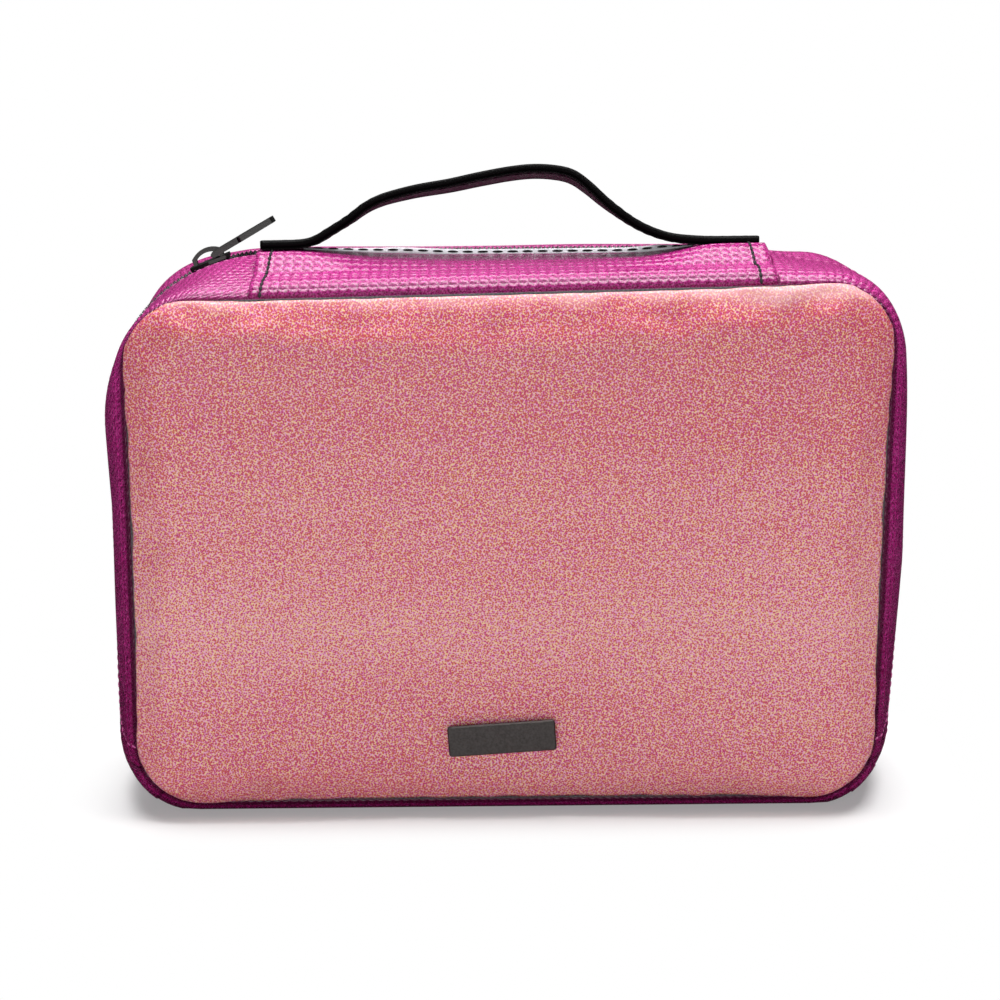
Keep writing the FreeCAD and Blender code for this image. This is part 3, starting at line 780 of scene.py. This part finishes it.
def row_of(name, tree, lines, finish, pitch, length, width, height):
    """Plain mesh of a row along lines of (points, ups) in metres; its measures are in mm."""
    points, ups, edges = [], [], []
    for line, up in lines:
        edges += [(len(points) + i, len(points) + i + 1) for i in range(len(line) - 1)]
        points += [tuple(p) for p in line]
        ups += [tuple(u) for u in up]
    mesh = bpy.data.meshes.new(name)
    mesh.from_pydata(points, edges, [])
    upward = mesh.attributes.new("up", "FLOAT_VECTOR", "POINT")
    upward.data.foreach_set("vector", np.ravel(ups).astype(np.float32))
    guide = placed(name + "_guide", mesh)
    nodes = guide.modifiers.new("row", "NODES")
    nodes.node_group = tree
    sockets = {item.name: item.identifier for item in tree.interface.items_tree if item.in_out == "INPUT"}
    for label, value in (("Pitch", pitch), ("Length", length), ("Width", width), ("Height", height)):
        nodes[sockets[label]] = value * mm
    nodes[sockets["Finish"]] = finish
    view = bpy.context.evaluated_depsgraph_get()
    made = bpy.data.meshes.new_from_object(guide.evaluated_get(view))
    guide.modifiers.remove(nodes)
    bpy.data.objects.remove(guide)
    made.name = name
    if "up" in made.attributes:
        made.attributes.remove(made.attributes["up"])
    return placed(name, made)


def beside_zip(away, inset, first=seam_start, last=seam_end, sunk=0.0):
    """A line beside the zip on the gusset with the surface's outward direction, in metres."""
    parts, shares = stations(first, last)
    y = zip_place(parts, shares, away, inset)
    inset = inset + sunk * down_side(shell(parts, shares, y, inset))
    here = settle(shell(parts, shares, y, inset))
    out = settle(shell(parts, shares, y, inset - 1.0)) - here
    return here, out / np.linalg.norm(out, axis=1, keepdims=True)


def on_patch(x, y, above):
    """A line on the patch with its up direction, in metres."""
    x, y = np.asarray(x, float), np.asarray(y, float)
    here = patch_point(x, y)
    dx = patch_point(x + 0.5, y) - here
    dy = patch_point(x, y + 0.5) - here
    up = np.cross(dx, dy)
    up /= np.linalg.norm(up, axis=1, keepdims=True)
    return settle(here + up * above), up


def thread(name, deep, pale):
    """Twisted thread: soft sheen and a little fleck."""
    material, shader, s = finish_of(name, Roughness=0.55, Specular_IOR_Level=0.08)
    feed(shader, s.spot().noise(2600, 2.0).between(deep, pale))
    return material


black_thread = thread("black_thread", (0.004, 0.004, 0.004, 1), (0.03, 0.028, 0.03, 1))
pink_thread = thread("magenta_thread", (0.26, 0.010, 0.12, 1), (0.62, 0.20, 0.40, 1))
stitch_tree = row_tree("stitch_row", False)
for name, away, body in (("lid_zip_stitches", -7.2, "lid"), ("body_zip_stitches", 7.2, "case_body")):
    zip_line = beside_zip(away, -skin, first=1.9, last=7.1)
    zip_sewing = row_of(name, stitch_tree, [zip_line], pink_thread, pitch=3.0, length=2.0, width=0.8,
                        height=0.5)
    dress(zip_sewing, pink_thread, body, "gusset_vinyl")
down_patch = np.linspace(-41.6, -20.6, 26)
left_sewing = on_patch(-73.7 + 4.4 * (down_patch + half_depth) / patch_run, down_patch, 0.12)
right_sewing = on_patch(74.6 - 1.8 * (down_patch + half_depth) / patch_run, down_patch, 0.12)
patch_sewing = row_of("patch_stitches", stitch_tree, [left_sewing, right_sewing], black_thread,
                      pitch=2.1, length=2.2, width=1.0, height=0.6)
dress(patch_sewing, black_thread, "lid", "strap_leather")
strap_sewn = 5.0
middle, side, up, _ = strap_frames()
strap_rows = []
for edge in (-1, 1):
    under = middle + side * edge * strap_sewn
    over = under + up * (strap_under + strap_upper + 0.05)
    strap_rows += [(under[3:-3] * mm, -up[3:-3]), (over[3:-3] * mm, up[3:-3])]
strap_sewing = row_of("strap_stitches", stitch_tree, strap_rows, black_thread, pitch=3.4, length=2.4,
                      width=0.6, height=0.24)
sew_strap(strap_sewing, black_thread, "strap_leather")

# Turned edge of the patch
# The patch's rear edge is turned up and shows the vinyl's grey woven back, held by a black topstitch.
grey_cloth, grey_shader, s = finish_of("grey_vinyl_back", Roughness=0.62)
weave = s.spot().noise(900, 3.0)
grey_colour = weave.between((0.55, 0.54, 0.59, 1), (0.95, 0.94, 0.98, 1))
feed(grey_shader, grey_colour, normal=weave.bump(0.5, 0.1 * mm))
lip_steps, lip_high, lip_foot = 110, 1.5, -9.7
edge_x = np.linspace(-62.0, 58.0, lip_steps)
edge_low = patch_height(edge_x, np.full(lip_steps, lip_foot + 0.1))
lip = lip_high * np.clip((edge_x + 63) / 30, 0.25, 1) * np.clip((59 - edge_x) / 12, 0.25, 1)
edge_rows = []
for share, back in ((0.0, 0.0), (0.33, 0.85), (0.66, 1.45), (1.0, 1.8)):
    edge_rows.append(np.stack([edge_x, 0 * edge_x + lip_foot + back, edge_low + 0.1 + lip * share], -1))
lip_grid = settle(np.swapaxes(np.array(edge_rows), 0, 1))
patch_lip = sheet_of("patch_turned_edge", lip_grid, flip=True, thick=0.7 * mm)
dress(patch_lip, grey_cloth, "lid", "gusset_vinyl")
lip_out = np.repeat([[0.0, -0.85, 0.5]], lip_steps, 0)
lip_line = lip_grid[:, 1:3].mean(1) + lip_out * 0.1 * mm
lip_sewing = row_of("turned_edge_stitches", stitch_tree, [(lip_line, lip_out)], black_thread, pitch=4.5,
                    length=3.3, width=0.8, height=0.5)
dress(lip_sewing, black_thread, "lid", "strap_leather")

# Zip tapes
# Black woven polyester tapes, sewn under the edges of the vinyl on both sides of the zip.
tape_cloth, tape_shader, s = finish_of("zip_tape_weave", Roughness=0.75)
uv = s.uv()
chevron = s.sum("PINGPONG", uv.axis(1) * 900.0, 1.0) * 0.8
rib = s.sum("SINE", uv.axis(0) * 2600.0 + chevron * 2.0) * 0.5 + 0.5
tape_colour = rib.between((0.006, 0.006, 0.007, 1), (0.028, 0.027, 0.029, 1))
feed(tape_shader, tape_colour, normal=rib.bump(0.7, 0.15 * mm))
tape_sunk, tape_start, tape_end = 1.9, 1.82, 7.18
tape_depth = np.array([1.4, 1.35, 1.2, 0.7, 0.1, -0.3, -0.45, -0.5])
lid_tape = gusset("lid_zip_tape", tape_start, tape_end, (-7.5,), (-0.5,), inset=tape_depth, rows=8,
                  sunk=tape_sunk, thick=0.6 * mm)
dress(lid_tape, tape_cloth, "lid", "tape_black", "zip_tape_lid")
body_tape = gusset("body_zip_tape", tape_start, tape_end, (0.5,), (7.5,), inset=tape_depth[::-1], rows=8,
                   sunk=tape_sunk, thick=0.6 * mm)
dress(body_tape, tape_cloth, "case_body", "tape_black", "zip_tape_body")

# Zip coils
# Black nylon monofilament wound in flat turns and sewn along the two tapes; the rows meet in the middle.
nylon, nylon_shader, s = finish_of("zip_nylon", Specular_IOR_Level=0.5)
scuff = s.spot().noise(700, 3.0)
feed(nylon_shader, scuff.between((0.006, 0.006, 0.007, 1), (0.03, 0.03, 0.032, 1)), scuff * 0.3 + 0.22)
turn_tree = row_tree("coil_row", True)
turn_size = {"pitch": 1.35, "length": 0.6, "width": 2.6, "height": 1.4}
lid_teeth = beside_zip(-1.4, -0.8, first=1.86, last=7.14, sunk=tape_sunk)
lid_coil = row_of("lid_zip_coil", turn_tree, [lid_teeth], nylon, **turn_size)
dress(lid_coil, nylon, "lid", "zip_black", "zip_coil_lid")
body_teeth = beside_zip(1.4, -0.8, first=1.855, last=7.145, sunk=tape_sunk)
body_coil = row_of("body_zip_coil", turn_tree, [body_teeth], nylon, **turn_size)
dress(body_coil, nylon, "case_body", "zip_black", "zip_coil_body")

# Zip end tabs
# Two small folds of magenta vinyl over the zip's lower ends, sewn to the body's gusset.
tab_grids = []
for first, last in ((1.40, 1.72), (7.28, 7.60)):
    parts, shares = stations(first, last)
    tab_y = np.linspace(-41.4, -34.0, 8)
    tab_grids.append(settle(shell(parts[:, None], shares[:, None], tab_y[None, :], -skin - 0.35)))
tabs = sheet_of("zip_end_folds", tab_grids[0], flip=True, thick=0.7 * mm)
other_tab = sheet_of("zip_end_fold_right", tab_grids[1], flip=True, thick=0.7 * mm)
dress(tabs, magenta, "case_body", "gusset_vinyl", "zip_end_tabs")
dress(other_tab, magenta, "case_body", "gusset_vinyl")

# Metal pieces
# Slider, bridge and pull are zinc castings plated black; the bare front plate is stamped and plated in
# dark gunmetal. All are satin and finely clouded.


def plating(name, deep, pale):
    """Satin plated metal with fine clouding and a faint brushed grain."""
    material, shader, s = finish_of(name, Metallic=0.85, Specular_IOR_Level=0.5)
    spot = s.spot()
    cloud = spot.noise(1500, 3.0)
    brushed = spot.stretched(1.0, 1.0, 14.0).noise(420, 2.0)
    feed(shader, cloud.between(deep, pale), 0.36 + (cloud - 0.5) * 0.3, brushed.bump(0.25, 0.05 * mm))
    return material


gunmetal = plating("gunmetal", (0.055, 0.048, 0.046, 1), (0.125, 0.112, 0.109, 1))
black_metal = plating("black_metal", (0.010, 0.010, 0.010, 1), (0.034, 0.033, 0.032, 1))
for node in ("slider_body", "slider_bridge", "pull_link", "pull_tab"):
    paint(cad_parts[node], black_metal)
paint(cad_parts["name_plate"], gunmetal)

# Lining
# Charcoal woven cloth on the inside of both gussets and both panels, over foam; it hides the foam's pads.
lining_cloth, lining_shader, s = finish_of("charcoal_lining", Specular_IOR_Level=0.25, Sheen_Weight=0.15)
uv = s.uv()
yarn = math.pi / (0.7 * mm)
weave = s.sum("SINE", uv.axis(0) * yarn) * s.sum("SINE", uv.axis(1) * yarn) * 0.5 + 0.5
cloud = uv.noise(60, 3.0)
lining_colour = (weave * 0.6 + cloud * 0.4).between((0.022, 0.021, 0.024, 1), (0.085, 0.082, 0.088, 1))
feed(lining_shader, lining_colour, 0.75 + (cloud - 0.5) * 0.2, weave.bump(0.6, 0.15 * mm))
lid_lining = gusset("lid_gusset_cloth", seam_start, seam_end, -41.0, (-8.0,), inset=4.1, rows=14,
                    thick=0.7 * mm)
dress(lid_lining, lining_cloth, "lid", "lining_cloth", "lid_gusset_lining", "lid_left_pad", "lid_right_pad",
      "lid_top_pad")
body_lining = gusset("body_gusset_cloth", 0.0, outline_end, (8.0,), 41.2, inset=4.1, rows=18,
                     thick=0.7 * mm)
dress(body_lining, lining_cloth, "case_body", "lining_cloth", "body_gusset_lining", "body_left_pad",
      "body_right_pad", "body_top_pad", "body_bottom_pad")
lining_half, lining_tall, lining_corner = 114.3, 78.8, 19.5
lining_depth, quilt_size, quilt_rise = 41.7, 38.0, 0.5


def panel_cloth(name, side):
    """Flat lining of a panel, with a gentle quilted swell."""
    across, tall = np.linspace(-lining_half, lining_half, 61), np.linspace(-lining_tall, lining_tall, 45)
    x, up = np.meshgrid(across, tall, indexing="ij")
    inner_x, inner_up = lining_half - lining_corner, lining_tall - lining_corner
    away_x, away_up = np.maximum(np.abs(x) - inner_x, 0), np.maximum(np.abs(up) - inner_up, 0)
    pull = np.minimum(1, lining_corner / np.maximum(np.hypot(away_x, away_up), 1e-9))
    x = np.sign(x) * np.minimum(np.abs(x), inner_x + away_x * pull)
    up = np.sign(up) * np.minimum(np.abs(up), inner_up + away_up * pull)
    quilt = np.abs(np.sin(x / quilt_size * math.pi)) * np.abs(np.sin(up / quilt_size * math.pi))
    grid = np.stack([x, side * (lining_depth - quilt_rise * quilt), panel_middle + up], -1)
    return sheet_of(name, settle(grid), flip=side > 0, thick=0.5 * mm)


front_cloth = panel_cloth("front_panel_cloth", -1)
dress(front_cloth, lining_cloth, "lid", "lining_cloth", "front_panel_lining")
back_cloth = panel_cloth("back_panel_cloth", 1)
dress(back_cloth, lining_cloth, "case_body", "lining_cloth", "back_panel_lining")

# Seam bindings
# Black woven tape over the raw edges of the two inner seams, and along the fold at the bottom front.
front_binding = gusset("front_seam_tape", seam_start, seam_end, -41.0, -35.2, inset=4.9, rows=6,
                       thick=0.9 * mm)
dress(front_binding, tape_cloth, "lid", "tape_black", "front_seam_binding")
back_binding = gusset("back_seam_tape", 0.0, outline_end, 35.2, 41.0, inset=4.9, rows=6, thick=0.9 * mm)
dress(back_binding, tape_cloth, "case_body", "tape_black", "back_seam_binding")
fold_x = np.linspace(-94, 94, 60)
fold_rows = [np.stack([fold_x, np.full(60, y), z + 0.15 * np.sin(fold_x / 3.0)], -1)
             for y, z in ((-40.7, 8.0), (-39.0, 8.6), (-37.0, 8.4), (-35.0, 7.4))]
fold_tape = sheet_of("hinge_fold_tape", np.swapaxes(np.array(fold_rows), 0, 1) * mm, thick=0.9 * mm)
dress(fold_tape, tape_cloth, "case_body", "tape_black", "hinge_binding")

# Base board
# Stiff black fibre board laid in the bottom, with a pressed pebble grain.
board, board_shader, s = finish_of("fibre_board", Roughness=0.7)
pebble = s.add("ShaderNodeTexVoronoi", None, {"Vector": s.spot(), "Scale": 420})
board_colour = pebble.between((0.018, 0.018, 0.02, 1), (0.05, 0.05, 0.054, 1))
feed(board_shader, board_colour, normal=pebble.bump(0.5, 0.2 * mm))
paint(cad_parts["base_board"], board)

# Padded dividers
# Foam boards covered in the lining cloth: one long, two across behind it, standing on the base board.


def flat_top(share, power):
    """1 in the middle and 0 at both ends; a higher power keeps it level for longer."""
    return np.clip(1 - np.abs(share) ** power, 0, 1)


def divider(name, node):
    """Soft board the size of its CAD node, puffed on its two faces and rounded at its edges."""
    low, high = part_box(node)
    size, middle = high - low, (low + high) / 2
    thin = 0 if size[0] < size[1] else 1
    wide = 1 - thin
    steps, levels = 40, 24
    there = np.linspace(-1, 1, steps + 1)
    a, face = np.concatenate([there, -there])[:, None], np.repeat([1.0, -1.0], steps + 1)[:, None]
    b = np.linspace(-1, 1, levels)[None, :]
    fall = flat_top(a, 14) ** 0.5 * flat_top(b, 10) ** 0.5
    puffed = 0.5 + 0.5 * flat_top(a, 4) * flat_top(b, 4)
    grid = np.zeros((2 * steps + 2, levels, 3))
    grid[..., wide] = middle[wide] + a * size[wide] / 2
    grid[..., thin] = middle[thin] + face * fall * puffed * size[thin] / 2
    grid[..., 2] = middle[2] + b * size[2] / 2
    piece = sheet_of(name, grid, closed=True)
    close_ends(piece)
    dress(piece, lining_cloth, "case_body", "lining_cloth", node)


for label in ("long_divider", "left_divider", "right_divider"):
    divider(label + "_pad", label)

# Net pocket
# Black knitted net across the inside of the front, gathered a little by the elastic hem along its mouth.
net, net_shader, s = finish_of("knitted_net", Roughness=0.8)
uv = s.uv()
along, across = uv.axis(0), uv.axis(1)
cell = math.pi / (2.4 * mm)
slants = [s.sum("ABSOLUTE", s.sum("COSINE", slant * cell)) for slant in (along + across, along - across)]
lattice = s.sum("MAXIMUM", *slants)
net_colour = lattice.between((0.01, 0.01, 0.011, 1), (0.04, 0.04, 0.042, 1))
feed(net_shader, net_colour, alpha=s.sum("GREATER_THAN", lattice, 0.86))
pocket_steps, pocket_rows, hem_rows = 120, 34, 8
pocket_x = np.linspace(-95, 95, pocket_steps)[:, None]
pocket_wave = 0.5 + 0.5 * np.sin(pocket_x / 3.1)
pocket_z = np.linspace(36.0, 110.5, pocket_rows)[None, :]
gather = np.clip((pocket_z - 60) / 50, 0, 1) ** 2
pocket_y = -40.5 + 1.1 * gather * pocket_wave
pocket_grid = np.stack(np.broadcast_arrays(pocket_x, pocket_y, pocket_z), -1)
pocket = sheet_of("net_pocket_net", pocket_grid * mm, flip=True)
dress(pocket, net, "lid", "net", "net_pocket")
hem_z = np.linspace(109.8, 118.0, hem_rows)[None, :]
bulge = 0.5 * np.sin(np.linspace(0, math.pi, hem_rows))[None, :]
hem_grid = np.stack(np.broadcast_arrays(pocket_x, -39.9 + bulge + 0.8 * pocket_wave, hem_z), -1)
hem = sheet_of("pocket_elastic_hem", hem_grid * mm, flip=True, thick=0.9 * mm)
dress(hem, tape_cloth, "lid", "tape_black", "pocket_hem")

# Stage
# White floor and surroundings, one broad soft light above, one in front, and the camera of the photograph.
floor_white, floor_shader, s = finish_of("studio_floor", Roughness=0.9, Specular_IOR_Level=0.0,
                                         Base_Color=(0.86, 0.86, 0.86, 1))
case_half, shadow_reach = (0.112, 0.039, 0.0), 0.034
to_middle = s.add("ShaderNodeVectorMath", {"operation": "ABSOLUTE"}, {0: s.spot()})
beyond_case = s.add("ShaderNodeVectorMath", {"operation": "SUBTRACT"}, {0: to_middle, 1: case_half})
outside = s.add("ShaderNodeVectorMath", {"operation": "MAXIMUM"}, {0: beyond_case, 1: (0, 0, 0)})
from_case = s.add("ShaderNodeVectorMath", {"operation": "LENGTH"}, {0: outside}, 1)
glow = s.add("ShaderNodeEmission", None, {"Color": (1, 1, 1, 1), "Strength": 1.0})
plain = Strand(floor_white.node_tree, floor_shader.outputs[0])
camera_ray = s.add("ShaderNodeLightPath")
lit_share = (from_case.eased(0.0, shadow_reach) * 0.76 + 0.24) * camera_ray
mixed = s.add("ShaderNodeMixShader", None, {0: lit_share, 1: plain, 2: glow})
floor_out = floor_white.node_tree.nodes["Material Output"]
floor_white.node_tree.links.new(mixed.socket, floor_out.inputs["Surface"])
floor_mesh = bpy.data.meshes.new("floor")
floor_mesh.from_pydata([(-6, -6, 0), (6, -6, 0), (6, 6, 0), (-6, 6, 0)], [], [(0, 1, 2, 3)])
floor = placed("floor", floor_mesh)
paint(floor, floor_white)
floor.visible_glossy = False
world = bpy.data.worlds.new("studio")
bpy.context.scene.world = world
world.use_nodes = True
w = Strand(world.node_tree)
ray_kinds = w.add("ShaderNodeLightPath").socket.node.outputs
camera_ray, glossy_ray, clear_ray = [
    Strand(world.node_tree, ray_kinds[label])
    for label in ("Is Camera Ray", "Is Glossy Ray", "Is Transmission Ray")]
aloft = w.add("ShaderNodeTexCoord").axis(2).eased(0.06, 0.40)
shown = w.sum("MAXIMUM", camera_ray, w.sum("MAXIMUM", glossy_ray, clear_ray) * aloft * 0.32)
strength = shown * 0.9 + 0.10 - glossy_ray * 0.09
background = world.node_tree.nodes["Background"]
background.inputs["Color"].default_value = (1, 1, 1, 1)
world.node_tree.links.new(strength.socket, background.inputs["Strength"])


def lamp(name, place, aim, size, power):
    """Rectangular soft light that looks at a place."""
    light = bpy.data.lights.new(name, "AREA")
    light.shape, light.size, light.size_y, light.energy = "RECTANGLE", size[0], size[1], power
    holder = placed(name, light)
    holder.location = place
    holder.rotation_euler = (Vector(aim) - Vector(place)).to_track_quat("-Z", "Y").to_euler()


lamp("light_above", place=(0.05, 0.14, 1.15), aim=(0, 0, 0.1), size=(1.1, 0.7), power=33.0)
lamp("light_front", place=(-0.2, -1.75, 0.3), aim=(0, 0, 0.08), size=(1.0, 0.6), power=14.0)
view_pitch, view_roll, view_distance = math.radians(12), math.radians(-0.567), 0.853
view_target = Vector((-0.00189, -0.042, 0.09949))
sensor_width, focal_pixels, photo_pixels = 36.0, 2815, 1000
ahead = Vector((0, math.cos(view_pitch), -math.sin(view_pitch)))
level, above = Vector((1, 0, 0)), Vector((0, math.sin(view_pitch), math.cos(view_pitch)))
right = level * math.cos(view_roll) + above * math.sin(view_roll)
upward = above * math.cos(view_roll) - level * math.sin(view_roll)
lens = bpy.data.cameras.new("camera")
lens.sensor_width, lens.lens = sensor_width, focal_pixels * sensor_width / photo_pixels
camera = placed("camera", lens)
camera.matrix_world = Matrix((right, upward, -ahead)).transposed().to_4x4()
camera.location = view_target - ahead * view_distance
bpy.context.scene.camera = camera
bpy.context.scene.view_settings.view_transform = "Standard"
